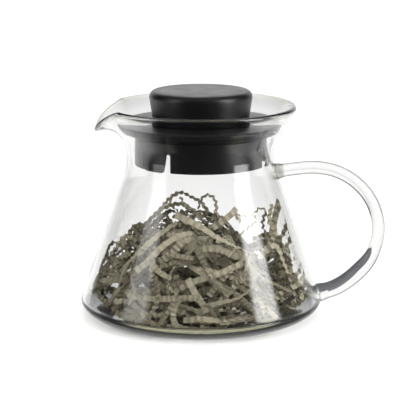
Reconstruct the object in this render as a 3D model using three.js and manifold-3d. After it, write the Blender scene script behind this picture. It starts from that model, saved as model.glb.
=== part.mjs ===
// A blown glass teapot with a rod handle, a pulled pouring lip and a black plastic stopper lid.
// Millimetres, +Z up. The origin is the centre of the flat underside; the lip points to -X, the handle to +X.
import * as THREE from 'three';
import { mergeVertices } from 'three/addons/utils/BufferGeometryUtils.js';
import Module from 'manifold-3d';

const wasm = await Module();
wasm.setup();

const DEGREES = Math.PI / 180;
const GAP = 0.3; // left between two pieces that touch

// Glass body
const BASE_RADIUS = 59.5;
const CONTACT_RADIUS = 43.3; // edge of the flat that the pot stands on
const FILLET_HEIGHT = 8.8;
const FILLET_POWER = 1.8; // superellipse power of the rounded base edge
const FILLET_POINTS = 5;
const WALL = 2.0;
const FLOOR = 2.6;
const RIM_THICKNESS = 2.8; // fire-polished bead
const RIM_RADIUS = 46.3;
const RIM_HEIGHT = 103.2;
const NECK_RADIUS = 36.5;
const WALL_CORNERS = [
  { r: BASE_RADIUS, z: 10, round: 1.2 },
  { r: NECK_RADIUS, z: 73.6, round: 5 },
  { r: NECK_RADIUS, z: 84.6, round: 3.6 },
]; // where the straight stretches outside the wall would meet, and how far each corner is rounded
const FLARE_STEPS = 5;
const GLASS_SEGMENTS = 72;

// Pouring lip, a fold of the rim
const LIP_HALF_ANGLE = 31 * DEGREES;
const LIP_TIP_ANGLE = 10 * DEGREES; // on each side of the tip, where the lip reaches out in full
const LIP_REACH = 3.9;
const LIP_DROP = 11;
const LIP_START = 90; // height where the flare starts to turn outwards
const LIP_POWER = 1.6;
const LIP_FALL_POWER = 1.7; // how steeply the rim falls to the tip

// Handle, a bent glass rod fused to the body at both ends
const ROD_DIAMETER = 6.4;
const LOWER_ROD_DIAMETER = 8.2;
const HANDLE_POINTS = [
  [33, 71.6],
  [46.8, 73.6],
  [56, 74.2],
  [66.5, 72.2],
  [76.5, 66.3],
  [84.3, 56.4],
  [87.6, 43.5],
  [84.8, 30.6],
  [77.5, 21.2],
  [67.5, 13.8],
  [54, 9.6],
]; // centre line: x, z; both ends run on into the body before they are cut
const ROD_SIDES = 12;
const ROD_STEPS = 40;

// Lid knob, a hollow cap
const KNOB_TOP = 112.5;
const KNOB_FOOT = 99.3;
const KNOB_FLAT_RADIUS = 21.9;
const KNOB_RADIUS = 25.1;
const KNOB_FOOT_RADIUS = 23.7;
const KNOB_ROUND = 3.2;
const KNOB_WALL = 2.2;
const LID_SEGMENTS = 48;

// Lid flange, a disc that rests on the flare, with a boss that the knob fits over
const FLANGE_RADIUS = 39.2;
const FLANGE_EDGE_TOP = 97;
const FLANGE_UNDERSIDE = 91.2;
const PLATE_BOTTOM = 95;
const PLATE_TOP = 98;
const BOSS_RADIUS = 20.6;
const BOSS_WALL = 1.8;
const BOSS_TOP = 104.5;

// Lid skirt, a ring in the neck, with spring fingers between pairs of slits
const SKIRT_RADIUS = 32.3;
const SKIRT_WALL = 1.4;
const SKIRT_BOTTOM = 76.8;
const SKIRT_TOP = PLATE_BOTTOM - GAP;
const FINGER_COUNT = 3;
const FINGER_ANGLE = 21.6; // degrees, width of one finger
const SLIT_ANGLE = 4.5; // degrees, width of the slit on each side of it
const FIRST_FINGER = -131.3; // degrees from +X, centre of the first finger
const SLIT_HEIGHT = 9.6;
const FINGER_REACH = 34.2; // radius of the grip at the foot of a finger
const SKIRT_SEGMENTS = 72;

const point = (r, z) => new THREE.Vector2(r, z);

// The points of a rounded corner: a quarter turn about centre from angle a to angle b.
function arc(centreR, centreZ, radius, a, b, steps) {
  return Array.from({ length: steps + 1 }, (_, i) => {
    const turn = (a + ((b - a) * i) / steps) * DEGREES;
    return point(centreR + radius * Math.cos(turn), centreZ + radius * Math.sin(turn));
  });
}

// A profile of radius and height, turned about Z.
function turned(profile, segments) {
  return new THREE.LatheGeometry(profile, segments).rotateX(Math.PI / 2);
}

function toSolid(geometry) {
  const bare = geometry.clone();
  bare.deleteAttribute('normal');
  bare.deleteAttribute('uv');
  const merged = mergeVertices(bare, 1e-4);
  const index = merged.index.array;
  const triangles = [];
  for (let i = 0; i < index.length; i += 3) {
    const [a, b, c] = [index[i], index[i + 1], index[i + 2]];
    if (a !== b && b !== c && c !== a) triangles.push(a, b, c);
  }
  const vertProperties = new Float32Array(merged.attributes.position.array);
  const triVerts = new Uint32Array(triangles);
  return new wasm.Manifold(new wasm.Mesh({ numProp: 3, vertProperties, triVerts }));
}

function toGeometry(solid) {
  const mesh = solid.getMesh();
  const geometry = new THREE.BufferGeometry();
  geometry.setAttribute('position', new THREE.BufferAttribute(mesh.vertProperties, 3));
  geometry.setIndex(new THREE.BufferAttribute(mesh.triVerts, 1));
  geometry.computeVertexNormals();
  return geometry;
}

// The rounded edge of the base, from the contact flat up to the widest radius.
function baseFillet() {
  return Array.from({ length: FILLET_POINTS }, (_, i) => {
    const turn = (i / FILLET_POINTS) * 90 * DEGREES;
    const across = (BASE_RADIUS - CONTACT_RADIUS) * Math.sin(turn) ** (2 / FILLET_POWER);
    const drop = FILLET_HEIGHT * (1 - Math.cos(turn) ** (2 / FILLET_POWER));
    return point(CONTACT_RADIUS + across, drop);
  });
}

// Straight stretches from one corner to the next, with each corner rounded.
function plainWall() {
  const stops = [
    point(BASE_RADIUS, 0),
    ...WALL_CORNERS.map(({ r, z }) => point(r, z)),
    point(RIM_RADIUS, RIM_HEIGHT),
  ];
  const bends = WALL_CORNERS.flatMap(({ round }, i) => {
    const corner = stops[i + 1];
    const before = stops[i].clone().sub(corner).setLength(round).add(corner);
    const after = stops[i + 2].clone().sub(corner).setLength(round).add(corner);
    return new THREE.QuadraticBezierCurve(before, corner, after).getPoints(i === 0 ? 2 : 3);
  });
  const flare = new THREE.LineCurve(bends[bends.length - 1], stops[stops.length - 1]);
  return [...bends, ...flare.getPoints(FLARE_STEPS).slice(1)];
}

// The outside of the glass from the edge of the contact flat to the rim, at an angle from the lip.
function outerProfile(fromLip) {
  const share = Math.max(0, 1 - Math.abs(fromLip) / LIP_HALF_ANGLE);
  const out = 1 - THREE.MathUtils.smoothstep(Math.abs(fromLip), LIP_TIP_ANGLE, LIP_HALF_ANGLE);
  const down = Math.sin(share * 90 * DEGREES) ** LIP_FALL_POWER;
  return [...baseFillet(), ...plainWall()].map((p) => {
    const height = Math.max(0, (p.y - LIP_START) / (RIM_HEIGHT - LIP_START)) ** LIP_POWER;
    return point(p.x + LIP_REACH * out * height, p.y - LIP_DROP * down * height);
  });
}

// The closed section of the glass at an angle from the lip: outside, rounded rim, inside.
function glassSection(fromLip) {
  const outer = outerProfile(fromLip);
  const last = outer.length - 1;
  const inner = outer.map((p, i) => {
    const along = outer[Math.min(i + 1, last)].clone().sub(outer[Math.max(i - 1, 0)]).normalize();
    const base = THREE.MathUtils.smoothstep(p.y, 0, FILLET_HEIGHT);
    const rim = THREE.MathUtils.smoothstep(i, last - 3, last);
    const thickness = THREE.MathUtils.lerp(FLOOR, WALL, base) + (RIM_THICKNESS - WALL) * rim;
    return i === 0 ? point(p.x, FLOOR) : point(p.x - along.y * thickness, p.y + along.x * thickness);
  });
  const middle = outer[last].clone().add(inner[last]).multiplyScalar(0.5);
  const rim = [45, 90, 135].map((turn) => {
    return outer[last].clone().rotateAround(middle, turn * DEGREES);
  });
  return [point(0, 0), ...outer, ...rim, ...inner.reverse(), point(0, FLOOR)];
}

function glassBody() {
  const rows = glassSection(Math.PI).length;
  const geometry = turned(glassSection(Math.PI), GLASS_SEGMENTS);
  const position = geometry.attributes.position;
  for (let i = 0; i <= GLASS_SEGMENTS; i++) {
    const angle = Math.atan2(position.getY(i * rows + 1), position.getX(i * rows + 1));
    glassSection(Math.PI - Math.abs(angle)).forEach((p, j) => {
      position.setXYZ(i * rows + j, p.x * Math.cos(angle), p.x * Math.sin(angle), p.y);
    });
  }
  geometry.computeVertexNormals();
  return geometry;
}

// The space that the body takes up, with the gap round it, which trims the handle's ends.
function bodyEnvelope() {
  const outer = outerProfile(Math.PI).map((p) => point(p.x + GAP, p.y));
  return toSolid(turned([point(0, 0), ...outer, point(0, RIM_HEIGHT)], GLASS_SEGMENTS));
}

// Diameter of the rod where its centre line is at a height: it thickens above the lower weld.
function rodDiameter(height) {
  const { smoothstep, lerp } = THREE.MathUtils;
  const share = smoothstep(height, 8, 13) * (1 - smoothstep(height, 22, 34));
  return lerp(ROD_DIAMETER, LOWER_ROD_DIAMETER, share);
}

function glassHandle() {
  const points = HANDLE_POINTS.map(([x, z]) => new THREE.Vector3(x, 0, z));
  const centreLine = new THREE.CatmullRomCurve3(points, false, 'centripetal');
  const section = new THREE.Shape();
  section.absarc(0, 0, ROD_DIAMETER / 2, 0, 2 * Math.PI);
  const rod = new THREE.ExtrudeGeometry(section, {
    steps: ROD_STEPS,
    curveSegments: ROD_SIDES / 2,
    bevelEnabled: false,
    extrudePath: centreLine,
  });
  const centres = centreLine.getSpacedPoints(ROD_STEPS);
  const position = rod.attributes.position;
  const corner = new THREE.Vector3();
  for (let i = 0; i < position.count; i++) {
    corner.fromBufferAttribute(position, i);
    const distances = centres.map((centre) => centre.distanceTo(corner));
    const centre = centres[distances.indexOf(Math.min(...distances))];
    const growth = rodDiameter(centre.z) / ROD_DIAMETER;
    corner.sub(centre).multiplyScalar(growth).add(centre);
    position.setXYZ(i, corner.x, corner.y, corner.z);
  }
  return toGeometry(toSolid(rod).subtract(bodyEnvelope()));
}

function lidKnob() {
  const roundR = KNOB_RADIUS - KNOB_ROUND;
  const roundZ = KNOB_TOP - KNOB_ROUND;
  const outer = [
    point(KNOB_FOOT_RADIUS, KNOB_FOOT),
    ...arc(roundR, roundZ, KNOB_ROUND, 0, 60, 4),
    point(KNOB_FLAT_RADIUS, KNOB_TOP),
  ];
  const inner = [
    point(0, KNOB_TOP - KNOB_WALL),
    point(KNOB_FLAT_RADIUS - 1, KNOB_TOP - KNOB_WALL),
    point(KNOB_RADIUS - KNOB_WALL, roundZ),
    point(KNOB_FOOT_RADIUS - KNOB_WALL, KNOB_FOOT),
  ];
  return turned([...inner, ...outer, point(0, KNOB_TOP)], LID_SEGMENTS);
}

function lidFlange() {
  const innerEdge = SKIRT_RADIUS + GAP + 0.1;
  const edge = new THREE.SplineCurve([
    point(innerEdge, FLANGE_UNDERSIDE),
    point(35.4, 92.3),
    point(37.9, 93.5),
    point(FLANGE_RADIUS, 95.6),
    point(38.2, FLANGE_EDGE_TOP),
  ]).getPoints(8);
  const slope = new THREE.QuadraticBezierCurve(
    edge.pop(),
    point(31, 97.6),
    point(KNOB_FOOT_RADIUS + 1, KNOB_FOOT - GAP),
  ).getPoints(5);
  return turned([
    point(0, PLATE_BOTTOM),
    point(innerEdge, PLATE_BOTTOM),
    ...edge,
    ...slope,
    point(BOSS_RADIUS, KNOB_FOOT - GAP),
    point(BOSS_RADIUS, BOSS_TOP),
    point(BOSS_RADIUS - BOSS_WALL, BOSS_TOP),
    point(BOSS_RADIUS - BOSS_WALL, PLATE_TOP),
    point(0, PLATE_TOP),
  ], LID_SEGMENTS);
}

// A wedge about the axis, angles in degrees from +X, wide enough to pass the whole lid.
function wedge(centre, width, bottom, top) {
  const reach = 2 * SKIRT_RADIUS;
  const [a, b] = [(centre - width / 2) * DEGREES, (centre + width / 2) * DEGREES];
  const shape = new THREE.Shape([
    point(0, 0),
    point(reach * Math.cos(a), reach * Math.sin(a)),
    point(reach * Math.cos(b), reach * Math.sin(b)),
  ]);
  const prism = new THREE.ExtrudeGeometry(shape, { depth: top - bottom, bevelEnabled: false });
  return toSolid(prism.translate(0, 0, bottom));
}

// A ring whose outside follows the given points and whose wall is SKIRT_WALL thick.
function ring(outside) {
  const inside = outside.map((p) => point(p.x - SKIRT_WALL, p.y)).reverse();
  return toSolid(turned([...outside, ...inside, outside[0]], SKIRT_SEGMENTS));
}

function lidSkirt() {
  const below = SKIRT_BOTTOM - 1;
  const slitTop = SKIRT_BOTTOM + SLIT_HEIGHT;
  let skirt = ring([point(SKIRT_RADIUS, SKIRT_BOTTOM), point(SKIRT_RADIUS, SKIRT_TOP)]);
  const fingerRing = ring([
    point(FINGER_REACH - 1, SKIRT_BOTTOM),
    point(FINGER_REACH, SKIRT_BOTTOM + 1.8),
    point(SKIRT_RADIUS + 0.9, SKIRT_BOTTOM + 6),
    point(SKIRT_RADIUS, slitTop),
    point(SKIRT_RADIUS, slitTop + 1),
  ]);
  for (let i = 0; i < FINGER_COUNT; i++) {
    const centre = FIRST_FINGER + (i * 360) / FINGER_COUNT;
    const finger = fingerRing.intersect(wedge(centre, FINGER_ANGLE, below, SKIRT_TOP));
    const clearing = wedge(centre, FINGER_ANGLE + 2 * SLIT_ANGLE, below, slitTop);
    skirt = skirt.subtract(clearing).add(finger);
  }
  return toGeometry(skirt);
}

function named(name, geometry, material) {
  const mesh = new THREE.Mesh(geometry, new THREE.MeshStandardMaterial(material));
  mesh.name = name;
  return mesh;
}

const glass = { color: '#eef3f1', roughness: 0.04, metalness: 0, transparent: true, opacity: 0.3 };
const blackPlastic = { color: '#141416', roughness: 0.38, metalness: 0 };

const pot = new THREE.Group();
pot.add(named('glass_body', glassBody(), glass));
pot.add(named('glass_handle', glassHandle(), glass));

const lid = new THREE.Group();
lid.add(named('lid_knob', lidKnob(), blackPlastic));
lid.add(named('lid_flange', lidFlange(), blackPlastic));
lid.add(named('lid_skirt', lidSkirt(), blackPlastic));

const group = new THREE.Group();
group.add(pot, lid);

export default group;
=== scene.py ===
"""Looks of the blown glass teapot with a stopper lid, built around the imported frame. Metres throughout."""

import math
import random

import bmesh
import bpy
from mathutils import Matrix, Vector, noise


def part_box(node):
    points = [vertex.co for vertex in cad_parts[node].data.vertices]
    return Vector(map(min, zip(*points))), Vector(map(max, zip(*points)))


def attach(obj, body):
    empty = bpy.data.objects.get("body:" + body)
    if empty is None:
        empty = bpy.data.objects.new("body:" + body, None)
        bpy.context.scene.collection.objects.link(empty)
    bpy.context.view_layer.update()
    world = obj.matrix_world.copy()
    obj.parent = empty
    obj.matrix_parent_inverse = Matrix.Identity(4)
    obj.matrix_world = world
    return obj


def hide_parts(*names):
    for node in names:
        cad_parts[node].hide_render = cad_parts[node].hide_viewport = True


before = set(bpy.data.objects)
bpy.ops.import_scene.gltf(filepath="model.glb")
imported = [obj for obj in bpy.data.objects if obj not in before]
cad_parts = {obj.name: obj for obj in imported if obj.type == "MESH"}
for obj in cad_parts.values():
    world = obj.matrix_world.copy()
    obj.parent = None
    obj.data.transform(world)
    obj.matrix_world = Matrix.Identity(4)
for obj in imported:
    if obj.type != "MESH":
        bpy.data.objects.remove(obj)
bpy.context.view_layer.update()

MM = 0.001
FULL_TURN = 2 * math.pi

# Places read from the frame
BODY_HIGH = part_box("glass_body")[1]
KNOB_LOW, KNOB_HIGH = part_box("lid_knob")
FLANGE_LOW, FLANGE_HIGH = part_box("lid_flange")
SKIRT_LOW, SKIRT_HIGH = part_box("lid_skirt")

# Glass body, the same outline as the frame's
BASE_RADIUS = BODY_HIGH.y
CONTACT_RADIUS = 43.3 * MM
FILLET_HEIGHT = 8.8 * MM
FILLET_POWER = 1.8
WALL = 2.0 * MM
FLOOR = 2.6 * MM
RIM_THICKNESS = 2.8 * MM
RIM_RADIUS = 46.3 * MM
RIM_HEIGHT = 103.2 * MM
NECK_RADIUS = 36.5 * MM
WALL_CORNERS = [
    (BASE_RADIUS, 10 * MM, 1.2 * MM),
    (NECK_RADIUS, 73.6 * MM, 5 * MM),
    (NECK_RADIUS, 84.6 * MM, 3.6 * MM),
]  # where the straight stretches of the wall would meet, and how far each corner is rounded
LIP_HALF_ANGLE = math.radians(31)
LIP_TIP_ANGLE = math.radians(10)
LIP_REACH = 3.9 * MM
LIP_DROP = 11 * MM
LIP_START = 90 * MM
LIP_POWER = 1.6
LIP_FALL_POWER = 1.7
GLASS_SEGMENTS = 240
FLAT_STEPS = 6  # rows between the axis and the edge of the flat underside
RIM_TURN = 15  # degrees between rows round the rim
BEAD_LENGTH = 4.5 * MM  # how far below the rim the wall thickens to its bead
BEAD_ROWS = 6  # rows each side of the rim's middle that take the bead's painted shade

# Handle
ROD_RADIUS = 3.2 * MM
LOWER_ROD_RADIUS = 4.1 * MM
HANDLE_POINTS = [
    (33, 71.6),
    (46.8, 73.6),
    (56, 74.2),
    (66.5, 72.2),
    (76.5, 66.3),
    (84.3, 56.4),
    (87.6, 43.5),
    (84.8, 30.6),
    (77.5, 21.2),
    (67.5, 13.8),
    (54, 9.6),
]  # millimetres, x and z of the centre line
SWELL_RISE = (8 * MM, 13 * MM)  # heights between which the rod grows, going up from the foot
SWELL_FALL = (22 * MM, 34 * MM)  # and between which it shrinks again
ROD_SIDES = 48
ROD_STEPS = 160
WELD_GAP = 0.04 * MM
WELD_FLARE = 0.8 * MM
WELD_LENGTH = 2.4 * MM
CAP_SHARES = (0.0, 0.25, 0.5, 0.75)  # rings of each end cap, as a share of the rod's radius
UPPER_END, LOWER_END = 0.4, 0.6  # shares of the line that hold each crossing of the body

# Lid
KNOB_ROUND = 3.2 * MM
KNOB_FOOT_RADIUS = 23.7 * MM
KNOB_FLAT_RADIUS = 21.9 * MM
KNOB_WALL = 2.2 * MM
SKIRT_RADIUS = 32.3 * MM
SKIRT_WALL = 1.4 * MM
PLATE_BOTTOM = 95 * MM
PLATE_TOP = 98 * MM
BOSS_RADIUS = 20.6 * MM
BOSS_WALL = 1.8 * MM
FINGER_COUNT = 3
FINGER_ANGLE = math.radians(21.6)
SLIT_ANGLE = math.radians(4.5)
FIRST_FINGER = math.radians(-131.3)
SLIT_HEIGHT = 9.6 * MM
FINGER_CORNER = 2.2 * MM
SLIT_CORNER = 0.7 * MM
FOOT_HEIGHT = 1.8 * MM  # a finger stands out most at this height above its foot
FOOT_TUCK = 0.45  # share of its reach that it draws back below that
FLANGE_UNDERSIDE = [(33.6 * MM, 0.2 * MM), (38.6 * MM, 2.6 * MM)]  # radius, and height over its foot
FLANGE_EDGE = 4.9 * MM  # height of its widest place over its foot
FLANGE_TOP = 97 * MM
FLANGE_SHOULDER = (31.5 * MM, 97.9 * MM)
FLANGE_SEAT = 99 * MM
FLANGE_ROUNDS = [0, 0.3, 0.3, 0.8, 1.2, 0.7, 0.8, 2.5, 0.6, 0.2, 0.3, 0.3, 0.3, 0]  # mm, each corner
LID_SEGMENTS = 192
LID_STEP = 2 * MM  # longest stretch of a lid outline
SKIRT_SEGMENTS = 360

# Camera
CAMERA_DISTANCE = 0.85525
CAMERA_ELEVATION = math.radians(12.35)
CAMERA_TARGET = Vector((3.71 * MM, 0, 53.55 * MM))
CAMERA_LENS = 149.9
CAMERA_SENSOR = 36

# Studio, as brightness where the white backdrop is 1
WHITE = 1.15
THROUGH_GLASS = 1.11
ROOM_DARK = 0.01
ROOM_BACKDROP = 1.25
ROOM_CEILING = 0.46
GAP_STOPS = [(0.2, 1.0), (0.38, 0.03), (0.6, 0.03), (0.92, 1.0)]  # along Y, what glass shows of the room
BACKDROP_EDGE = (0.62, 0.95)  # along Y, where reflections find the backdrop begin and at its brightest
CEILING_EDGE = (0.55, 0.9)  # the same for the ceiling, along Z
LEFT_POWER = 0.62
RIGHT_POWER = 2.1
SOFTBOX_ANGLE = math.radians(63)
SOFTBOX_DISTANCE = 0.36
SOFTBOX_WIDTH = 0.19
SOFTBOX_HEIGHT = 0.42
SOFTBOX_EDGE = 0.22  # share of its width over which a softbox fades in from each side
OVERHEAD_PLACE = (0.1, -0.45, 1.0)
OVERHEAD_AIM = (0, 0, 0.05)
OVERHEAD_SIZE = 0.7
OVERHEAD_POWER = 7
FLOOR_GAP = 0.15 * MM
FLOOR_REACH = 6
FLOOR_DARKENS = (0.01, -0.058)  # Y from which, and to which, reflections find the floor turn dark
FLOOR_DARK_BEHIND = 0.05  # how much of that darkness is left behind the pot

# Board under the pot: grey, with an olive strip along its front and a wing to the back right
BOARD_LEFT = -0.075
BOARD_RIGHT = 0.125
BOARD_FRONT = -0.066
BOARD_BACK = 0.04
WING_START = 0.064
WING_BACK = 0.085
BOARD_TINTS = [(0.3, (0.085, 0.087, 0.1)), (0.7, (0.115, 0.117, 0.13))]
STRIP_NEAR = 0.038
STRIP_FAR = 0.062
STRIP_COLOUR = (0.42, 0.41, 0.29, 1)


# ---------- helpers ----------

def add_object(name, mesh, smooth=True):
    """A new object in the scene from a mesh, shaded smooth or flat."""
    for polygon in mesh.polygons:
        polygon.use_smooth = smooth
    piece = bpy.data.objects.new(name, mesh)
    bpy.context.scene.collection.objects.link(piece)
    return piece


def mesh_from(name, points, faces):
    mesh = bpy.data.meshes.new(name)
    mesh.from_pydata([tuple(p) for p in points], [], faces)
    mesh.update()
    return mesh


def face_outwards(mesh):
    """Turns every face of a closed mesh to point out of the solid."""
    shape = bmesh.new()
    shape.from_mesh(mesh)
    bmesh.ops.recalc_face_normals(shape, faces=shape.faces)
    shape.to_mesh(mesh)
    shape.free()


def turned(name, sections, closed):
    """Skins a list of sections, each a list of points, round a full turn.
    An open section starts and ends on the axis, and a closed one joins its own ends."""
    rings = sections if closed else [section[1:-1] for section in sections]
    points = [p for ring in rings for p in ring]
    count, rows, first = len(rings), len(rings[0]), len(points)
    faces = []
    for i in range(count):
        a, b = i * rows, (i + 1) % count * rows
        for j in range(rows if closed else rows - 1):
            n = (j + 1) % rows
            faces.append((a + j, b + j, b + n, a + n))
        if not closed:
            faces.append((first, b, a))
            faces.append((first + 1, a + rows - 1, b + rows - 1))
    if not closed:
        points += [sections[0][0], sections[0][-1]]
    mesh = mesh_from(name, points, faces)
    face_outwards(mesh)
    return mesh


def lathe(name, profile, segments, closed=False):
    """Turns one profile of (radius, height) about Z."""
    sections = []
    for i in range(segments):
        angle = FULL_TURN * i / segments
        sections.append([Vector((r * math.cos(angle), r * math.sin(angle), z)) for r, z in profile])
    return turned(name, sections, closed)


def arc(centre_r, centre_z, radius, start, end, steps):
    """Points of an arc in a profile, angles in degrees."""
    found = []
    for i in range(steps + 1):
        turn = math.radians(start + (end - start) * i / steps)
        found.append((centre_r + radius * math.cos(turn), centre_z + radius * math.sin(turn)))
    return found


def rounded(profile, radii, steps=5):
    """A polyline of (r, z) with each inner corner rounded by its own length."""
    found = [profile[0]]
    for i in range(1, len(profile) - 1):
        corner = Vector(profile[i])
        size = radii[i]
        if size == 0:
            found.append(profile[i])
            continue
        before = corner + (Vector(profile[i - 1]) - corner).normalized() * size
        after = corner + (Vector(profile[i + 1]) - corner).normalized() * size
        for k in range(steps + 1):
            t = k / steps
            p = before * (1 - t) ** 2 + corner * 2 * t * (1 - t) + after * t * t
            found.append((p.x, p.y))
    found.append(profile[-1])
    return found


def smoothstep(value, low, high):
    t = min(1, max(0, (value - low) / (high - low)))
    return t * t * (3 - 2 * t)


def subdivided(profile, longest):
    """The same outline with no stretch longer than the given length."""
    found = [profile[0]]
    for a, b in zip(profile, profile[1:]):
        steps = max(1, math.ceil(math.dist(a, b) / longest))
        for k in range(1, steps + 1):
            found.append((a[0] + (b[0] - a[0]) * k / steps, a[1] + (b[1] - a[1]) * k / steps))
    return found


# ---------- glass body ----------

def base_fillet(steps):
    found = []
    for i in range(steps):
        turn = math.pi / 2 * i / steps
        across = (BASE_RADIUS - CONTACT_RADIUS) * math.sin(turn) ** (2 / FILLET_POWER)
        up = FILLET_HEIGHT * (1 - math.cos(turn) ** (2 / FILLET_POWER))
        found.append((CONTACT_RADIUS + across, up))
    return found


def plain_wall():
    stops = [(BASE_RADIUS, FILLET_HEIGHT)]
    stops += [(r, z) for r, z, _ in WALL_CORNERS]
    stops += [(RIM_RADIUS, RIM_HEIGHT)]
    radii = [0] + [size for _, _, size in WALL_CORNERS] + [0]
    return subdivided(rounded(stops, radii, steps=10), 2.2 * MM)


PLAIN_OUTSIDE = base_fillet(22) + plain_wall()


def outside_at(from_lip):
    """The outer outline at an angle from the lip, where the flare is pulled out and down."""
    share = max(0, 1 - abs(from_lip) / LIP_HALF_ANGLE)
    out = 1 - smoothstep(abs(from_lip), LIP_TIP_ANGLE, LIP_HALF_ANGLE)
    down = math.sin(share * math.pi / 2) ** LIP_FALL_POWER
    found = []
    for r, z in PLAIN_OUTSIDE:
        height = max(0, (z - LIP_START) / (RIM_HEIGHT - LIP_START)) ** LIP_POWER
        found.append((r + LIP_REACH * out * height, z - LIP_DROP * down * height))
    return found


def glass_section(from_lip):
    """Outline of the glass from the axis under the base, up, over the rim and back inside."""
    outer = [Vector(p) for p in outside_at(from_lip)]
    last = len(outer) - 1
    inner = []
    for i, p in enumerate(outer):
        along = (outer[min(i + 1, last)] - outer[max(i - 1, 0)]).normalized()
        base = smoothstep(p.y, 0, FILLET_HEIGHT)
        bead = smoothstep(PLAIN_OUTSIDE[i][1], RIM_HEIGHT - BEAD_LENGTH, RIM_HEIGHT)
        thickness = FLOOR + (WALL - FLOOR) * base + (RIM_THICKNESS - WALL) * bead
        inner.append(Vector((p.x - along.y * thickness, p.y + along.x * thickness)))
    inner[0] = Vector((outer[0].x, FLOOR))
    middle = (outer[last] + inner[last]) / 2
    spoke = outer[last] - middle
    turns = [math.radians(turn) for turn in range(RIM_TURN, 180, RIM_TURN)]
    rim = [middle + Matrix.Rotation(turn, 2) @ spoke for turn in turns]
    spread = [CONTACT_RADIUS * k / FLAT_STEPS for k in range(FLAT_STEPS)]
    flat = [Vector((r, 0)) for r in spread]
    floor = [Vector((r, FLOOR)) for r in reversed(spread)]
    return flat + outer + rim + inner[::-1] + floor


def glass_body():
    """The whole body, with the attribute bead marking the rim, where the glass takes more painted shade."""
    sections = []
    for i in range(GLASS_SEGMENTS):
        angle = FULL_TURN * i / GLASS_SEGMENTS
        from_lip = abs(angle - math.pi)
        section = glass_section(from_lip)
        turn = (math.cos(angle), math.sin(angle))
        sections.append([Vector((p.x * turn[0], p.x * turn[1], p.y)) for p in section])
    mesh = turned("blown_glass_body", sections, False)
    rows = len(sections[0]) - 2
    rim_row = FLAT_STEPS + len(PLAIN_OUTSIDE) + 90 // RIM_TURN - 2
    bead = mesh.attributes.new("bead", "FLOAT", "POINT")
    for i in range(GLASS_SEGMENTS):
        for j in range(rows):
            bead.data[i * rows + j].value = 1 if abs(j - rim_row) <= BEAD_ROWS else 0
    return add_object("blown_glass_body", mesh)


def outer_radius(z):
    """Radius of the plain wall at a height."""
    for (r0, z0), (r1, z1) in zip(PLAIN_OUTSIDE, PLAIN_OUTSIDE[1:]):
        if z0 <= z <= z1 and z1 > z0:
            return r0 + (r1 - r0) * (z - z0) / (z1 - z0)
    return CONTACT_RADIUS if z < 0 else RIM_RADIUS


# ---------- handle ----------

def catmull_rom(points, t):
    """A point on the centripetal curve through the points, t from 0 to 1."""
    spans = len(points) - 1
    i = min(int(t * spans), spans - 1)
    local = t * spans - i
    p1, p2 = points[i], points[i + 1]
    p0 = points[i - 1] if i > 0 else p1 * 2 - p2
    p3 = points[i + 2] if i + 2 <= spans else p2 * 2 - p1
    d01, d12, d23 = ((b - a).length ** 0.5 for a, b in ((p0, p1), (p1, p2), (p2, p3)))
    m1 = (p2 - p1) + d12 * ((p1 - p0) / d01 - (p2 - p0) / (d01 + d12))
    m2 = (p2 - p1) + d12 * ((p3 - p2) / d23 - (p3 - p1) / (d12 + d23))
    a = (p1 - p2) * 2 + m1 + m2
    b = (p2 - p1) * 3 - m1 * 2 - m2
    return a * local**3 + b * local**2 + m1 * local + p1


def rod_radius(height):
    """Radius of the rod where its centre line is at a height: it thickens above the lower weld."""
    share = smoothstep(height, *SWELL_RISE) * (1 - smoothstep(height, *SWELL_FALL))
    return ROD_RADIUS + (LOWER_ROD_RADIUS - ROD_RADIUS) * share


def rod_point(line, t, side, share, ends):
    """A point on the rod's surface, or inside it for a share below 1."""
    centre = catmull_rom(line, t)
    ahead = catmull_rom(line, min(1, t + 1e-3))
    behind = catmull_rom(line, max(0, t - 1e-3))
    along = (ahead - behind).normalized()
    normal = along.cross(Vector((0, 1, 0)))
    reach = min((centre - catmull_rom(line, end)).length for end in ends)
    radius = rod_radius(centre.z) + WELD_FLARE * math.exp(-((reach / WELD_LENGTH) ** 2))
    around = normal * math.cos(side) + Vector((0, math.sin(side), 0))
    return centre + around * radius * share


def meets_body(line, side, share, start, end, ends):
    """Where on the line, between start and end, a strand of the rod comes out of the body."""
    low, high = start, end
    for _ in range(30):
        middle = (low + high) / 2
        p = rod_point(line, middle, side, share, ends)
        if math.hypot(p.x, p.y) < outer_radius(p.z) + WELD_GAP:
            low = middle
        else:
            high = middle
    return (low + high) / 2


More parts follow.
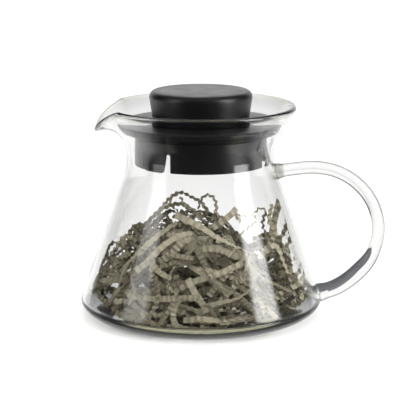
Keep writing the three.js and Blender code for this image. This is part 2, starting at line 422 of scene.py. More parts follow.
def glass_handle():
    line = [Vector((x * MM, 0, z * MM)) for x, z in HANDLE_POINTS]
    whole = (0.0, 1.0)
    upper = meets_body(line, 0, 0, 0.0, UPPER_END, whole)
    lower = meets_body(line, 0, 0, 1.0, LOWER_END, whole)
    ends = (upper, lower)
    sides = [FULL_TURN * i / ROD_SIDES for i in range(ROD_SIDES)]
    rings = []

    def cap_ring(share, start, middle):
        found = []
        for side in sides:
            t = meets_body(line, side, share, start, middle, ends)
            found.append(rod_point(line, t, side, share, ends))
        return found

    for share in CAP_SHARES[1:]:
        rings.append(cap_ring(share, 0.0, UPPER_END))
    starts = [meets_body(line, side, 1, 0.0, UPPER_END, ends) for side in sides]
    stops = [meets_body(line, side, 1, 1.0, LOWER_END, ends) for side in sides]
    for k in range(ROD_STEPS + 1):
        ease = k / ROD_STEPS
        ring = []
        for side, a, b in zip(sides, starts, stops):
            ring.append(rod_point(line, a + (b - a) * ease, side, 1, ends))
        rings.append(ring)
    for share in CAP_SHARES[:0:-1]:
        rings.append(cap_ring(share, 1.0, LOWER_END))
    points = [p for ring in rings for p in ring]
    faces = []
    for i in range(len(rings) - 1):
        a, b = i * ROD_SIDES, (i + 1) * ROD_SIDES
        for j in range(ROD_SIDES):
            n = (j + 1) % ROD_SIDES
            faces.append((a + j, a + n, b + n, b + j))
    first, last = len(points), len(points) + 1
    points += [rod_point(line, end, 0, 0, ends) for end in ends]
    bottom = (len(rings) - 1) * ROD_SIDES
    for j in range(ROD_SIDES):
        n = (j + 1) % ROD_SIDES
        faces.append((first, n, j))
        faces.append((last, bottom + j, bottom + n))
    mesh = mesh_from("rod_handle", points, faces)
    face_outwards(mesh)
    return add_object("rod_handle", mesh)


# ---------- lid ----------

def lid_knob():
    radius = KNOB_HIGH.y
    top, foot = KNOB_HIGH.z, KNOB_LOW.z
    outer = [(KNOB_FOOT_RADIUS - 0.4 * MM, foot), (KNOB_FOOT_RADIUS, foot + 0.35 * MM)]
    outer += arc(radius - KNOB_ROUND, top - KNOB_ROUND, KNOB_ROUND, 0, 64, 14)
    outer += [(KNOB_FLAT_RADIUS - 0.8 * MM, top - 0.02 * MM)]
    outer += [(KNOB_FLAT_RADIUS * k / 5, top) for k in range(4, 0, -1)]
    inner = [(0, top - KNOB_WALL), (KNOB_FLAT_RADIUS - 1 * MM, top - KNOB_WALL)]
    inner += [(radius - KNOB_WALL, top - KNOB_ROUND), (KNOB_FOOT_RADIUS - KNOB_WALL, foot)]
    profile = subdivided(inner + outer + [(0, top)], LID_STEP)
    return add_object("knob_cap", lathe("knob_cap", profile, LID_SEGMENTS))


def lid_flange():
    edge_in = SKIRT_RADIUS + 0.4 * MM
    low, radius = FLANGE_LOW.z, FLANGE_HIGH.y
    profile = [
        (0, PLATE_BOTTOM),
        (edge_in, PLATE_BOTTOM),
        (edge_in, low),
        *((reach, low + rise) for reach, rise in FLANGE_UNDERSIDE),
        (radius, low + FLANGE_EDGE),
        (radius - 0.4 * MM, FLANGE_TOP + 0.05 * MM),
        FLANGE_SHOULDER,
        (KNOB_FOOT_RADIUS + 0.9 * MM, FLANGE_SEAT),
        (BOSS_RADIUS, FLANGE_SEAT),
        (BOSS_RADIUS, FLANGE_HIGH.z),
        (BOSS_RADIUS - BOSS_WALL, FLANGE_HIGH.z),
        (BOSS_RADIUS - BOSS_WALL, PLATE_TOP),
        (0, PLATE_TOP),
    ]
    outline = subdivided(rounded(profile, [r * MM for r in FLANGE_ROUNDS], steps=6), LID_STEP)
    return add_object("flange_disc", lathe("flange_disc", outline, LID_SEGMENTS))


def slit_cutter(angle, finger_side):
    """A blade through the skirt at an angle: round at the top, and opening at the foot in a round
    corner on each side, the larger one on the finger's side."""
    half = SKIRT_RADIUS * SLIT_ANGLE / 2
    foot, top = SKIRT_LOW.z, SKIRT_LOW.z + SLIT_HEIGHT
    left, right = (SLIT_CORNER, FINGER_CORNER) if finger_side > 0 else (FINGER_CORNER, SLIT_CORNER)
    outline = [(-half - left, foot - 1 * MM)]
    outline += arc(-half - left, foot + left, left, -90, 0, 8)
    outline += arc(0, top - half, half, 180, 0, 12)
    outline += arc(half + right, foot + right, right, 180, 270, 8)
    outline += [(half + right, foot - 1 * MM)]
    near, far = SKIRT_RADIUS - 4 * MM, SKIRT_RADIUS + 4 * MM
    turn = Matrix.Rotation(angle, 4, "Z")
    points = [turn @ Vector((reach, x, z)) for reach in (near, far) for x, z in outline]
    count = len(outline)
    faces = [tuple(range(count)), tuple(range(2 * count - 1, count - 1, -1))]
    for i in range(count):
        k = (i + 1) % count
        faces.append((i, count + i, count + k, k))
    mesh = mesh_from("slit_cutter", points, faces)
    face_outwards(mesh)
    return add_object("slit_cutter", mesh)


def cut(piece, cutter):
    """Takes the cutter's shape out of the piece and removes the cutter."""
    modifier = piece.modifiers.new("cut", "BOOLEAN")
    modifier.operation = "DIFFERENCE"
    modifier.solver = "EXACT"
    modifier.object = cutter
    applied = piece.evaluated_get(bpy.context.evaluated_depsgraph_get())
    mesh = bpy.data.meshes.new_from_object(applied)
    piece.modifiers.remove(modifier)
    piece.data = mesh
    bpy.data.objects.remove(cutter)


def finger_centres():
    return [FIRST_FINGER + FULL_TURN * i / FINGER_COUNT for i in range(FINGER_COUNT)]


def bulge(angle, z):
    """How far the skirt stands out at a place: only a finger does, towards its foot."""
    for centre in finger_centres():
        off = (angle - centre + math.pi) % FULL_TURN - math.pi
        if abs(off) < (FINGER_ANGLE + SLIT_ANGLE) / 2:
            reach = SKIRT_HIGH.x - SKIRT_RADIUS
            down = (SKIRT_LOW.z + SLIT_HEIGHT - z) / (SLIT_HEIGHT - FOOT_HEIGHT)
            swell = min(1, max(0, down)) ** 1.5
            tuck = smoothstep(SKIRT_LOW.z + FOOT_HEIGHT - z, 0, FOOT_HEIGHT)
            return reach * swell * (1 - FOOT_TUCK * tuck)
    return 0


def lid_skirt():
    foot, top = SKIRT_LOW.z, SKIRT_HIGH.z
    outside, inside = SKIRT_RADIUS, SKIRT_RADIUS - SKIRT_WALL
    profile = [(inside, foot), (outside, foot), (outside, top), (inside, top), (inside, foot)]
    radii = [0, 0.5 * MM, 0.2 * MM, 0.2 * MM, 0]
    outline = subdivided(rounded(profile, radii, steps=4), 0.9 * MM)[:-1]
    piece = add_object("finger_skirt", lathe("finger_skirt", outline, SKIRT_SEGMENTS, closed=True))
    for centre in finger_centres():
        for side in (-1, 1):
            cut(piece, slit_cutter(centre + side * (FINGER_ANGLE + SLIT_ANGLE) / 2, -side))
    for vertex in piece.data.vertices:
        angle = math.atan2(vertex.co.y, vertex.co.x)
        out = bulge(angle, vertex.co.z)
        vertex.co.x += out * math.cos(angle)
        vertex.co.y += out * math.sin(angle)
    piece.data.update()
    return piece


# ---------- crinkle-cut paper that fills the pot ----------

SEED = 11
PAPER_THICKNESS = 0.22 * MM
LOOSE_COUNT = 340
FACING = (0, -1, 0.2)  # the way the ribbons' flat sides look
RIBBON_PLEAT = 1.5  # makes all the ribbons' pleats deeper
SQUIGGLE_WIDTH = 2.8 * MM
SQUIGGLE_PLEAT = 0.5 * MM
SQUIGGLE_STEP = 1.4 * MM
TWIST = 0.035  # spread of the turn each strip makes at every step

# Where paper can be inside the glass
PAPER_CLEARANCE = 1.2 * MM
FILLET_TOP = 9 * MM  # the wall's outline is followed down to here
PAPER_FOOT = 12 * MM  # and the heap draws in below here
PAPER_DRAWS_IN = 0.9
LINE_LIFT = 0.8 * MM  # least height of a loose strip's middle over the glass floor
EDGE_LIFT = 1.2 * MM  # and of any strip's edges
EDGE_GAP = 0.6 * MM
HEAP_HEART = (-5 * MM, 0, 20 * MM)
MOUND = (53 * MM, -9 * MM, 58 * MM)  # height, middle and half width of the heap's broad part
SHOULDER = (40 * MM, 36 * MM, 17 * MM)  # the same for the shoulder on the handle's side
HEAP_HALF_DEPTH = 75 * MM
HEAP_BUMPS = 5 * MM
HEAP_LOWEST = 8 * MM

# Loose strips: where they start and their sizes in millimetres, and their curls in radians per metre
CRINKLED_SHARE = 0.84
LOOSE_SPACE = ((-54, 50), (-54, 54), (4, 56))
SIZES = ("length", "width", "pleat", "step")
CRINKLED = dict(length=(18, 52), width=(2.0, 3.0), pleat=(0.35, 0.6), step=(1.1, 1.4))
FLATTER = dict(length=(24, 50), width=(2.6, 3.4), pleat=(0.1, 0.3), step=(1.6, 2.4))
CRINKLED_CURLS = (30, 60, 90, 130)
FLATTER_CURLS = (5, 9, 15)
WOBBLE = 0.12  # how fast the axis that a strip curls about changes
LOOK_AHEAD = 4 * MM
EDGE_ROOM = 2.5 * MM  # a strip turns back when it finds less space than this ahead
TURN_BACK = 0.6  # how sharply it can do so

# Ribbons that lie in plain sight, flat side to the front, in millimetres:
# width, height of the pleats, step between pleats, then points (x, y, z)
RIBBONS = [
    (3.2, 0.26, 1.9, [(-12, -22, 55), (-3, -27, 52), (8, -31, 46), (19, -31, 40.5), (25, -27, 37)]),
    (3.0, 0.24, 1.8, [(-33, -32, 28), (-26, -34, 34), (-17, -33, 43), (-9, -30, 47), (-2, -25, 47)]),
    (2.8, 0.24, 1.7, [(-24, -36, 28), (-14, -39, 22), (-4, -42, 27), (8, -42, 31), (21, -38, 36)]),
    (3.0, 0.16, 2.0, [(-6, -43, 29), (-3, -44, 23), (1, -45, 17), (3, -45, 12)]),
    (3.4, 0.40, 1.2, [(-21, -33, 34), (-15, -35, 38), (-10, -34, 43), (-8, -31, 46)]),
    (2.8, 0.38, 1.2, [(4, -40, 20), (9, -41, 27), (15, -40, 33)]),
    (2.8, 0.38, 1.3, [(10, -41, 18), (16, -41, 25), (22, -37, 31)]),
    (3.0, 0.28, 1.6, [(-2, -30, 40), (8, -33, 41), (17, -32, 37), (26, -30, 35)]),
    (3.0, 0.26, 1.9, [(-16, -40, 4.5), (-6, -43, 4.2), (6, -43, 4.0), (13, -41, 4.6)]),
    (
        2.6, 0.16, 1.8,
        [(-18, -41, 7), (-17, -43, 13), (-10, -45, 16), (0, -46, 14)]
        + [(3, -46, 17), (6, -44, 12), (9, -42, 5)],
    ),
    (2.8, 0.28, 1.6, [(14, -36, 26), (24, -38, 20), (32, -38, 12), (37, -34, 6)]),
    (2.8, 0.24, 1.8, [(28, -22, 34), (35, -22, 40), (40, -20, 30), (44, -20, 18), (46, -18, 8)]),
    (3.2, 0.26, 1.7, [(-38, -20, 26), (-30, -26, 36), (-22, -24, 44), (-10, -20, 52)]),
    (3.0, 0.24, 1.8, [(6, -18, 48), (14, -18, 54), (17, -16, 57)]),
    (2.8, 0.28, 1.6, [(-42, -28, 14), (-33, -34, 20), (-24, -38, 22), (-14, -41, 14)]),
    (3.2, 0.20, 1.8, [(34, -6, 38), (36, -6, 50), (38.5, -4, 60)]),
    (2.6, 0.24, 1.7, [(36, -14, 12), (44, -16, 17), (51, -12, 22)]),
    (2.8, 0.26, 1.6, [(-8, -44, 9), (2, -46, 10), (12, -44, 8), (22, -41, 9), (30, -37, 6)]),
]

# Crinkled strips seen edge on, that curl round the outside of the heap
SQUIGGLES = [
    [(-24, 0, 48), (-19, -2, 55), (-14, -2, 60), (-10, 0, 61.5), (-5, 2, 59), (0, 2, 56), (4, 0, 51)],
    [(0, -4, 50), (-1, -4, 56), (2, -3, 60.5), (6, -3, 60), (7.5, -4, 54), (6, -5, 48)],
    [(-16, -6, 60), (-12, -6, 54), (-6, -6, 49), (-2, -8, 44)],
    [(-34, -8, 34), (-35, -8, 42), (-31, -8, 47), (-26, -8, 46), (-24, -10, 40)],
    [(-30, -4, 44), (-24, -4, 50), (-18, -4, 51), (-12, -6, 46)],
    [(-46, -10, 30), (-45, -10, 36), (-41, -10, 39), (-38, -12, 35), (-39, -12, 29)],
    [(-50, -8, 20), (-48, -8, 28), (-45, -8, 31), (-43, -10, 24), (-46, -12, 17)],
    [(-53, -6, 12), (-52, -6, 18), (-49, -8, 22), (-46, -10, 14), (-49, -10, 9)],
    [(17, -8, 52), (24, -6, 51), (29, -6, 55), (33, -6, 53)],
    [(-27, -4, 46), (-22, -4, 52), (-16, -6, 56), (-9, -6, 57), (-3, -8, 53), (2, -10, 49)],
    [(-10, -8, 61), (-7, -8, 56), (-3, -8, 54), (-6, -10, 50), (-11, -10, 47)],
    [(3, -8, 47), (7, -8, 52), (12, -8, 50), (16, -10, 53), (20, -10, 48)],
    [(18, -12, 42), (23, -10, 46), (27, -10, 50), (24, -12, 54)],
    [(34, -12, 58), (33, -12, 50), (36, -12, 44), (33, -14, 38), (35, -14, 31)],
    [(43, -10, 46), (43, -10, 40), (40, -12, 34), (43, -12, 28), (46, -12, 33)],
    [(-41, -14, 38), (-36, -14, 43), (-31, -14, 40), (-33, -16, 34), (-39, -16, 30)],
    [(48, -14, 26), (44, -16, 22), (41, -18, 27), (38, -18, 22)],
    [(31, -10, 30), (32, -8, 40), (30, -8, 48), (32, -8, 55)],
    [(35, -8, 52), (40, -6, 56), (42, -6, 50), (40, -6, 42), (36, -8, 36), (38, -8, 30)],
    [(33, -12, 36), (37, -12, 31), (34, -14, 25), (38, -14, 20)],
    [(42, -12, 16), (47, -10, 22), (49, -8, 28), (51, -8, 24), (47, -12, 17)],
    [(40, -16, 9), (47, -14, 14), (52, -10, 19), (53, -8, 14), (46, -16, 8)],
]


def heap_top(x, y):
    """Height of the heap over a place: a broad mound with a shoulder on the handle's side."""
    humps = [height * (1 - ((x - middle) / half) ** 2) for height, middle, half in (MOUND, SHOULDER)]
    swell = max(humps) * (1 - (y / HEAP_HALF_DEPTH) ** 2)
    return max(HEAP_LOWEST, swell + HEAP_BUMPS * noise.noise(Vector((x, y, 0)) * 60))


def inner_radius(z):
    """Radius that paper can reach at a height."""
    radius = outer_radius(max(z, FILLET_TOP)) - WALL - PAPER_CLEARANCE
    if z < PAPER_FOOT:
        radius -= (PAPER_FOOT - z) * PAPER_DRAWS_IN
    return radius


def room(p):
    """How far inside the heap's space a point is, negative when it is outside."""
    from_wall = inner_radius(p.z) - math.hypot(p.x, p.y)
    return min(from_wall, heap_top(p.x, p.y) - p.z, p.z - FLOOR - LINE_LIFT)


def kept_in(p):
    """The same point, pulled inside the glass if a wide strip there would touch it."""
    z = max(p.z, FLOOR + EDGE_LIFT)
    limit = inner_radius(z) - EDGE_GAP
    across = math.hypot(p.x, p.y)
    shrink = min(1, limit / across) if across > 0 else 1
    return Vector((p.x * shrink, p.y * shrink, z))


def sampled(points, step):
    """Points a step apart along the smooth curve through a few placed ones, given in millimetres."""
    placed = [Vector(p) * MM for p in points]
    fine = [catmull_rom(placed, k / 300) for k in range(301)]
    found, run = [fine[0]], 0
    for a, b in zip(fine, fine[1:]):
        run += (b - a).length
        if run >= step:
            found.append(b)
            run = 0
    return found


def wandering(dice, start, heading, length, curl, step):
    """A wandering line that stays in the heap, as a list of points a step apart."""
    points = [start]
    turn_axis = Vector((dice.gauss(0, 1), dice.gauss(0, 1), dice.gauss(0, 1.6))).normalized()
    for _ in range(int(length / step)):
        here = points[-1]
        wobble = Vector((dice.gauss(0, 1), dice.gauss(0, 1), dice.gauss(0, 1)))
        turn_axis = (turn_axis + wobble * WOBBLE).normalized()
        heading = Matrix.Rotation(curl * step, 3, turn_axis) @ heading
        near = room(here + heading * LOOK_AHEAD)
        if near < EDGE_ROOM:
            home = (Vector(HEAP_HEART) - here).normalized()
            heading = (heading + home * min(TURN_BACK, (EDGE_ROOM - near) / (6 * MM))).normalized()
        points.append(here + heading * step)
    return points


class Paper:
    """Collects the strips of paper into one mesh."""

    def __init__(self, dice):
        self.dice = dice
        self.points, self.faces, self.tints = [], [], []

    def add(self, line, width, pleat, side=None, shade=None):
        """One pleated strip along a line, as a thin closed solid. Its width lies along side."""
        dice = self.dice
        twist = dice.gauss(0, TWIST)
        if side is None:
            side = Vector((dice.gauss(0, 1), dice.gauss(0, 1), dice.gauss(0, 1)))
        first, count = len(self.points), len(line)
        for i, here in enumerate(line):
            along = (line[min(i + 1, count - 1)] - line[max(i - 1, 0)]).normalized()
            side = (side - along * side.dot(along)).normalized()
            side = Matrix.Rotation(twist, 3, along) @ side
            normal = along.cross(side)
            fold = pleat * (1 if i % 2 else -1) * dice.uniform(0.7, 1.2)
            skew = along * dice.uniform(-0.15, 0.15) * MM
            for across, up in ((-1, -1), (1, -1), (1, 1), (-1, 1)):
                out = side * (across * width / 2) + skew * across
                self.points.append(kept_in(here + normal * (fold + up * PAPER_THICKNESS / 2) + out))
        for i in range(count - 1):
            a, b = first + 4 * i, first + 4 * (i + 1)
            for k in range(4):
                n = (k + 1) % 4
                self.faces.append((a + k, a + n, b + n, b + k))
        self.faces.append((first + 3, first + 2, first + 1, first))
        end = first + 4 * (count - 1)
        self.faces.append((end, end + 1, end + 2, end + 3))
        shade = dice.uniform(0, 0.8) if shade is None else shade
        self.tints.extend([shade] * (4 * (count - 1) + 2))


def paper_filler():
    """All the strips: the placed ribbons and squiggles, then loose ones at random."""
    dice = random.Random(SEED)
    paper = Paper(dice)
    for width, pleat, step, points in RIBBONS:
        line = sampled(points, step * MM)
        side = (line[1] - line[0]).cross(Vector(FACING))
        paper.add(line, width * MM, RIBBON_PLEAT * pleat * MM, side, dice.uniform(0.55, 1))
    for points in SQUIGGLES:
        side = Vector((dice.uniform(-0.6, 0.6), 1, dice.choice((-1, 1)) * dice.uniform(0.4, 0.9)))
        line = sampled(points, SQUIGGLE_STEP)
        paper.add(line, SQUIGGLE_WIDTH, SQUIGGLE_PLEAT, side, dice.uniform(0.3, 0.9))
    made = 0
    while made < LOOSE_COUNT:
        start = Vector([dice.uniform(*span) * MM for span in LOOSE_SPACE])
        if room(start) < 2 * MM:
            continue
        heading = Vector((dice.gauss(0, 1), dice.gauss(0, 1), dice.gauss(0, 0.5))).normalized()
        crinkled = dice.random() < CRINKLED_SHARE
        kind = CRINKLED if crinkled else FLATTER
        curl = dice.choice(CRINKLED_CURLS if crinkled else FLATTER_CURLS)
        length, width, pleat, step = (dice.uniform(*kind[size]) * MM for size in SIZES)
        paper.add(wandering(dice, start, heading, length, curl, step), width, pleat)
        made += 1
    mesh = mesh_from("crinkle_paper_filler", paper.points, paper.faces)
    tint = mesh.attributes.new("tint", "FLOAT", "FACE")
    tint.data.foreach_set("value", paper.tints)
    face_outwards(mesh)
    return add_object("crinkle_paper_filler", mesh, smooth=False)


# ---------- node trees ----------

def feed(tree, socket, source):
    """Fills an input socket with a link from an output socket, or with a constant."""
    if isinstance(source, bpy.types.NodeSocket):
        tree.links.new(source, socket)
    else:
        socket.default_value = source


def node(tree, kind, **inputs):
    """A new node with its inputs filled; an underscore in an input's name stands for a space."""
    made = tree.nodes.new(kind)
    for key, source in inputs.items():
        feed(tree, made.inputs[key.replace("_", " ")], source)
    return made


def math_node(tree, operation, first, second, clamped=False):
    """The result of a calculation on two numbers."""
    made = tree.nodes.new("ShaderNodeMath")
    made.operation = operation
    made.use_clamp = clamped
    feed(tree, made.inputs[0], first)
    feed(tree, made.inputs[1], second)
    return made.outputs[0]


def distance(tree, place, centre=(0, 0, 0)):
    """How far a place is from a centre."""
    made = tree.nodes.new("ShaderNodeVectorMath")
    made.operation = "DISTANCE"
    feed(tree, made.inputs[0], place)
    feed(tree, made.inputs[1], centre)
    return made.outputs["Value"]


def split(tree, place):
    """The X, Y and Z of a place."""
    return node(tree, "ShaderNodeSeparateXYZ", Vector=place).outputs


def mapped(tree, value, start, stop, low=0.0, high=1.0, smooth=False):
    """A value taken from the range start to stop to the range low to high."""
    made = node(tree, "ShaderNodeMapRange", Value=value)
    made.interpolation_type = "SMOOTHSTEP" if smooth else "LINEAR"
    for key, number in (("From Min", start), ("From Max", stop), ("To Min", low), ("To Max", high)):
        made.inputs[key].default_value = number
    return made.outputs["Result"]


def mixed(tree, share, first, second, kind="RGBA", blend="MIX"):
    """A first colour or number that turns to a second as the share goes from 0 to 1."""
    made = tree.nodes.new("ShaderNodeMix")
    made.data_type = kind
    made.blend_type = blend
    feed(tree, made.inputs["Factor"], share)
    feed(tree, made.inputs["A"], first)
    feed(tree, made.inputs["B"], second)
    return made.outputs["Result"]


def attribute(tree, name):
    """A number stored on the mesh."""
    made = tree.nodes.new("ShaderNodeAttribute")
    made.attribute_name = name
    return made.outputs["Fac"]


def noise_node(tree, scale, detail=4, roughness=0.55):
    """Noise in object space, scale in features per metre."""
    place = tree.nodes.new("ShaderNodeTexCoord").outputs["Object"]
    made = node(tree, "ShaderNodeTexNoise", Vector=place, Scale=scale, Detail=detail, Roughness=roughness)
    return made.outputs["Fac"]


def grey(value):
    return (value, value, value)


def ramp(tree, source, stops):
    """A colour ramp fed by a socket; stops are (position, colour)."""
    made = node(tree, "ShaderNodeValToRGB", Fac=source)
    elements = made.color_ramp.elements
    while len(elements) > 1:
        elements.remove(elements[-1])
    elements[0].position, elements[0].color = stops[0][0], (*stops[0][1], 1)
    for position, colour in stops[1:]:
        elements.new(position).color = (*colour, 1)
    return made.outputs["Color"]


def ray_share(tree, depth):
    """1 for rays that have this depth and haven't met a matt surface, 0 for the rest."""
    path = tree.nodes.new("ShaderNodeLightPath").outputs
    return math_node(tree, "SUBTRACT", path[depth], path["Diffuse Depth"], clamped=True)


# ---------- materials ----------

# Darkening of the glass by how edge-on it is seen, from face-on to edge-on: partly the glass's own darkening
# along its longer path, partly painted shade standing in for the dark room that the edges bend into view
WALL_EDGE_ABSORPTION_AND_SHADE = [
    (0.0, (0.99, 0.992, 0.988)),
    (0.75, (0.975, 0.98, 0.965)),
    (1.0, (0.74, 0.74, 0.66)),
]
# Painted shade for the rim's bead: the dark lines its thick glass bends in from the room
BEAD_PAINTED_SHADE = [
    (0.0, (0.96, 0.96, 0.94)),
    (0.35, (0.72, 0.715, 0.66)),
    (0.8, (0.4, 0.395, 0.34)),
]
# Painted shade for the rod's edges, where it bends the dark room into view
ROD_PAINTED_EDGE_SHADE = [
    (0.0, (0.985, 0.99, 0.985)),
    (0.3, (0.9, 0.905, 0.88)),
    (0.6, (0.42, 0.42, 0.37)),
]
SHADOW_TINT = (0.95, 0.955, 0.945, 1)
# A ring of painted shade at the handle's upper weld, for the dark that its lump of glass bends into view
WELD_PLACE = (37.6 * MM, 0, 72.4 * MM)
WELD_EDGE = (3.2 * MM, 4.8 * MM)  # distances from that place over which the ring fades
WELD_PAINTED_SHADE = (0.16, 0.14, 0.09, 1)

# Plastic by its specks, from plain to dusty, and how rough it is by its clouds
PLASTIC_TINTS = [
    (0.0, (0.0035, 0.0035, 0.004)),
    (0.76, (0.0045, 0.0045, 0.005)),
    (0.80, (0.05, 0.05, 0.048)),
]
PLASTIC_ROUGHNESS = [(0.3, grey(0.30)), (0.7, grey(0.40))]

# Paper by strip, from the darkest to the lightest, and how much its fibres darken it
PAPER_TINTS = [
    (0.0, (0.2, 0.178, 0.122)),
    (0.5, (0.3, 0.268, 0.19)),
    (1.0, (0.4, 0.365, 0.272)),
]
PAPER_FIBRES = [(0.3, grey(0.72)), (0.7, grey(1.0))]

FLOOR_TINTS = [(0.3, grey(0.90)), (0.7, grey(0.93))]
FLOOR_DARK = (0.02, 0.02, 0.024, 1)


def new_material(name, **inputs):
    """A material that is only a Principled shader, with some of its inputs filled."""
    material = bpy.data.materials.new(name)
    material.use_nodes = True
    tree = material.node_tree
    tree.nodes.clear()
    shader = node(tree, "ShaderNodeBsdfPrincipled", **inputs)
    node(tree, "ShaderNodeOutputMaterial", Surface=shader.outputs["BSDF"])
    return material, tree, shader


def swap_shader(tree, share, shader, other):
    """Shows another shader instead of the material's own, by share."""
    mix = tree.nodes.new("ShaderNodeMixShader")
    for socket, source in zip(mix.inputs, (share, shader.outputs["BSDF"], other.outputs["BSDF"])):
        feed(tree, socket, source)
    feed(tree, tree.get_output_node("ALL").inputs["Surface"], mix.outputs[0])


def bump(tree, shader, height, distance, strength=1.0):
    made = node(tree, "ShaderNodeBump", Distance=distance, Strength=strength, Height=height)
    feed(tree, shader.inputs["Normal"], made.outputs["Normal"])


def glass_material(name, tints, weld=False):
    """Clear glass with painted shade where it is seen edge on, faintly wavy, and open to light for shadows.
    The body's has more painted shade round its rim. The handle's has a painted dark ring at its upper weld."""
    material, tree, shader = new_material(name, IOR=1.473, Transmission_Weight=1, Roughness=0)
    # painted shade where the glass is seen edge on, partly its own darkening along a longer path
    facing = node(tree, "ShaderNodeLayerWeight", Blend=0.5).outputs["Facing"]
    colour = ramp(tree, facing, tints)
    if weld:
        place = tree.nodes.new("ShaderNodeTexCoord").outputs["Object"]
        # painted shade: the dark ring at the upper weld
        clear_of = mapped(tree, distance(tree, place, WELD_PLACE), *WELD_EDGE, smooth=True)
        colour = mixed(tree, clear_of, WELD_PAINTED_SHADE, colour)
    else:
        # painted shade round the rim
        colour = mixed(tree, attribute(tree, "bead"), colour, ramp(tree, facing, BEAD_PAINTED_SHADE))
    feed(tree, shader.inputs["Base Color"], colour)
    bump(tree, shader, noise_node(tree, 38, detail=2), 0.12 * MM)
    shadow_ray = tree.nodes.new("ShaderNodeLightPath").outputs["Is Shadow Ray"]
    clear = node(tree, "ShaderNodeBsdfTransparent", Color=SHADOW_TINT)
    swap_shader(tree, shadow_ray, shader, clear)
    return material


def plastic_material():
    """Black moulded plastic with a fine satin grain and a little dust."""
    material, tree, shader = new_material("satin_black_plastic", IOR=1.49, Specular_IOR_Level=0.38)
    dust = ramp(tree, noise_node(tree, 1500, detail=1), PLASTIC_TINTS)
    satin = ramp(tree, noise_node(tree, 90), PLASTIC_ROUGHNESS)
    feed(tree, shader.inputs["Base Color"], dust)
    feed(tree, shader.inputs["Roughness"], satin)
    bump(tree, shader, noise_node(tree, 5200, detail=3), 0.02 * MM, 0.6)
    return material


def paper_material():
    """Kraft paper with a shade for each strip, cloudy fibres and a fine tooth."""
    material, tree, shader = new_material("kraft_crinkle_paper", Roughness=0.9)
    shade = ramp(tree, attribute(tree, "tint"), PAPER_TINTS)
    fibres = ramp(tree, noise_node(tree, 900, detail=6, roughness=0.7), PAPER_FIBRES)
    feed(tree, shader.inputs["Base Color"], mixed(tree, 1, shade, fibres, blend="MULTIPLY"))
    bump(tree, shader, noise_node(tree, 4000, detail=3), 0.05 * MM, 0.5)
    return material


def floor_material():
    """Pale to the eye. Reflections find it dark in front of the pot, but not right under it."""
    material, tree, shader = new_material("pale_floor", Roughness=0.8, Specular_IOR_Level=0.1)
    feed(tree, shader.inputs["Base Color"], ramp(tree, noise_node(tree, 3), FLOOR_TINTS))
    place = tree.nodes.new("ShaderNodeNewGeometry").outputs["Position"]
    front = mapped(tree, split(tree, place)["Y"], *FLOOR_DARKENS, low=FLOOR_DARK_BEHIND, smooth=True)
    clear_of_pot = mapped(tree, distance(tree, place), BASE_RADIUS - 2 * MM, BASE_RADIUS + 3 * MM)
    share = math_node(tree, "MULTIPLY", ray_share(tree, "Glossy Depth"), front)
    dark_share = math_node(tree, "MULTIPLY", share, clear_of_pot)
    swap_shader(tree, dark_share, shader, node(tree, "ShaderNodeBsdfDiffuse", Color=FLOOR_DARK))
    return material


def board_material():
    """Cloudy slate with an olive strip along the front."""
    material, tree, shader = new_material("slate")
    slate = ramp(tree, noise_node(tree, 60), BOARD_TINTS)
    place = tree.nodes.new("ShaderNodeTexCoord").outputs["Object"]
    across = mapped(tree, split(tree, place)["Y"], -STRIP_FAR, -STRIP_NEAR)
    strip = ramp(tree, across, [(0, grey(0)), (0.15, grey(1)), (0.7, grey(1)), (1, grey(0))])
    feed(tree, shader.inputs["Base Color"], mixed(tree, strip, slate, STRIP_COLOUR))
    return material


# ---------- studio ----------

def add_camera():
    data = bpy.data.cameras.new("camera")
    data.lens = CAMERA_LENS
    data.sensor_width = CAMERA_SENSOR
    camera = bpy.data.objects.new("camera", data)
    away = Vector((0, -math.cos(CAMERA_ELEVATION), math.sin(CAMERA_ELEVATION)))
    camera.location = CAMERA_TARGET + away * CAMERA_DISTANCE
    camera.rotation_euler = (-away).to_track_quat("-Z", "Y").to_euler()
    bpy.context.scene.collection.objects.link(camera)
    bpy.context.scene.camera = camera


def add_softbox(name, place, aim, width, height, power):
    data = bpy.data.lights.new(name, "AREA")
    data.shape = "RECTANGLE"
    data.size, data.size_y = width, height
    data.energy = power
    light = bpy.data.objects.new(name, data)
    light.location = place
    light.rotation_euler = (Vector(aim) - Vector(place)).to_track_quat("-Z", "Y").to_euler()
    bpy.context.scene.collection.objects.link(light)
    light.visible_camera = False
    return light


def soften(lamp):
    """Fades a softbox towards its sides and its top."""
    lamp.use_nodes = True
    tree = lamp.node_tree
    place = split(tree, tree.nodes.new("ShaderNodeNewGeometry").outputs["Parametric"])
    from_side = math_node(tree, "PINGPONG", place["X"], 0.5)
    sides = mapped(tree, from_side, 0, SOFTBOX_EDGE, smooth=True)
    fade = mapped(tree, place["Y"], 0, 0.9, 0.5, 1.4)
    feed(tree, tree.nodes["Emission"].inputs["Strength"], math_node(tree, "MULTIPLY", sides, fade))


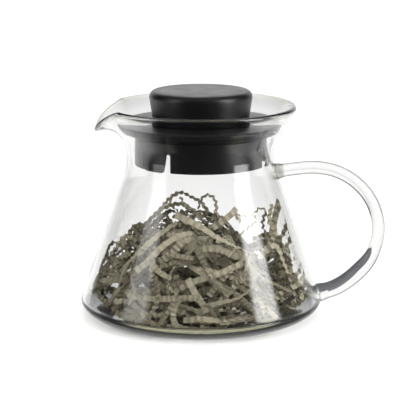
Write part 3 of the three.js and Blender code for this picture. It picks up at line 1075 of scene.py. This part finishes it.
def add_world():
    """White to the eye and to matt surfaces. Through glass, the dark gaps beside the backdrop show in
    the edges that bend the view most. Reflections find a dark room with a lit backdrop."""
    world = bpy.data.worlds.new("studio_white")
    world.use_nodes = True
    world.cycles.sampling_method = "NONE"
    bpy.context.scene.world = world
    tree = world.node_tree
    direction = split(tree, tree.nodes.new("ShaderNodeTexCoord").outputs["Generated"])
    backdrop = mapped(tree, direction["Y"], *BACKDROP_EDGE, ROOM_DARK, ROOM_BACKDROP, smooth=True)
    ceiling = mapped(tree, direction["Z"], *CEILING_EDGE, high=ROOM_CEILING, smooth=True)
    reflected = math_node(tree, "ADD", backdrop, ceiling)
    gaps = ramp(tree, direction["Y"], [(place, grey(value)) for place, value in GAP_STOPS])
    through = math_node(tree, "MULTIPLY", gaps, THROUGH_GLASS)
    unreflected = mixed(tree, ray_share(tree, "Transmission Depth"), WHITE, through, "FLOAT")
    strength = mixed(tree, ray_share(tree, "Glossy Depth"), unreflected, reflected, "FLOAT")
    background = tree.nodes["Background"]
    feed(tree, background.inputs["Strength"], strength)
    feed(tree, background.inputs["Color"], (1, 1, 1, 1))


def add_sheet(name, corners, height, faces, material):
    """A flat sheet that belongs to the studio, not to the part."""
    points = [(x, y, height) for x, y in corners]
    sheet = add_object(name, mesh_from(name, points, faces))
    sheet.data.materials.append(material)
    return sheet


def add_board():
    """A slate board that the pot stands on, seen only through its glass."""
    corners = [
        (BOARD_LEFT, BOARD_FRONT),
        (BOARD_RIGHT, BOARD_FRONT),
        (BOARD_RIGHT, WING_BACK),
        (WING_START, WING_BACK),
        (WING_START, BOARD_BACK),
        (BOARD_LEFT, BOARD_BACK),
    ]
    faces = [(0, 1, 4, 5), (1, 2, 3, 4)]
    board = add_sheet("slate_board", corners, -FLOOR_GAP / 2, faces, board_material())
    board.visible_camera = False
    board.visible_diffuse = False
    board.visible_glossy = False
    board.visible_shadow = False


def add_studio():
    reach = FLOOR_REACH
    corners = [(-reach, -reach), (reach, -reach), (reach, reach), (-reach, reach)]
    add_sheet("studio_floor", corners, -FLOOR_GAP, [(0, 1, 2, 3)], floor_material())
    add_board()
    add_world()
    for side, power in ((-1, LEFT_POWER), (1, RIGHT_POWER)):
        out_x = side * math.sin(SOFTBOX_ANGLE) * SOFTBOX_DISTANCE
        out_y = -math.cos(SOFTBOX_ANGLE) * SOFTBOX_DISTANCE
        middle = SOFTBOX_HEIGHT / 2 + 2 * MM
        place, aim = (out_x, out_y, middle), (0, 0, middle)
        softbox = add_softbox(f"softbox_{side}", place, aim, SOFTBOX_WIDTH, SOFTBOX_HEIGHT, power)
        softbox.visible_diffuse = False
        soften(softbox.data)
    size = OVERHEAD_SIZE
    overhead = add_softbox("overhead", OVERHEAD_PLACE, OVERHEAD_AIM, size, size, OVERHEAD_POWER)
    overhead.visible_glossy = False
    overhead.visible_transmission = False
    bpy.context.scene.view_settings.view_transform = "Standard"
    cycles = bpy.context.scene.cycles
    cycles.max_bounces = 24
    cycles.glossy_bounces = 16
    cycles.transmission_bounces = 24


# ---------- assembly ----------

add_camera()
add_studio()

clear = glass_material("clear_glass", WALL_EDGE_ABSORPTION_AND_SHADE)
rod_glass = glass_material("rod_glass", ROD_PAINTED_EDGE_SHADE, weld=True)
plastic = plastic_material()
paper = paper_material()

for build, replaced, body, slot, material in (
    (glass_body, "glass_body", "pot", "clear_glass", clear),
    (glass_handle, "glass_handle", "pot", "clear_glass", rod_glass),
    (lid_knob, "lid_knob", "lid", "black_plastic", plastic),
    (lid_flange, "lid_flange", "lid", "black_plastic", plastic),
    (lid_skirt, "lid_skirt", "lid", "black_plastic", plastic),
):
    piece = build()
    piece.data.materials.clear()
    piece.data.materials.append(material)
    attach(piece, body)
    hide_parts(replaced)

filler = paper_filler()
filler.data.materials.append(paper)
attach(filler, "pot")
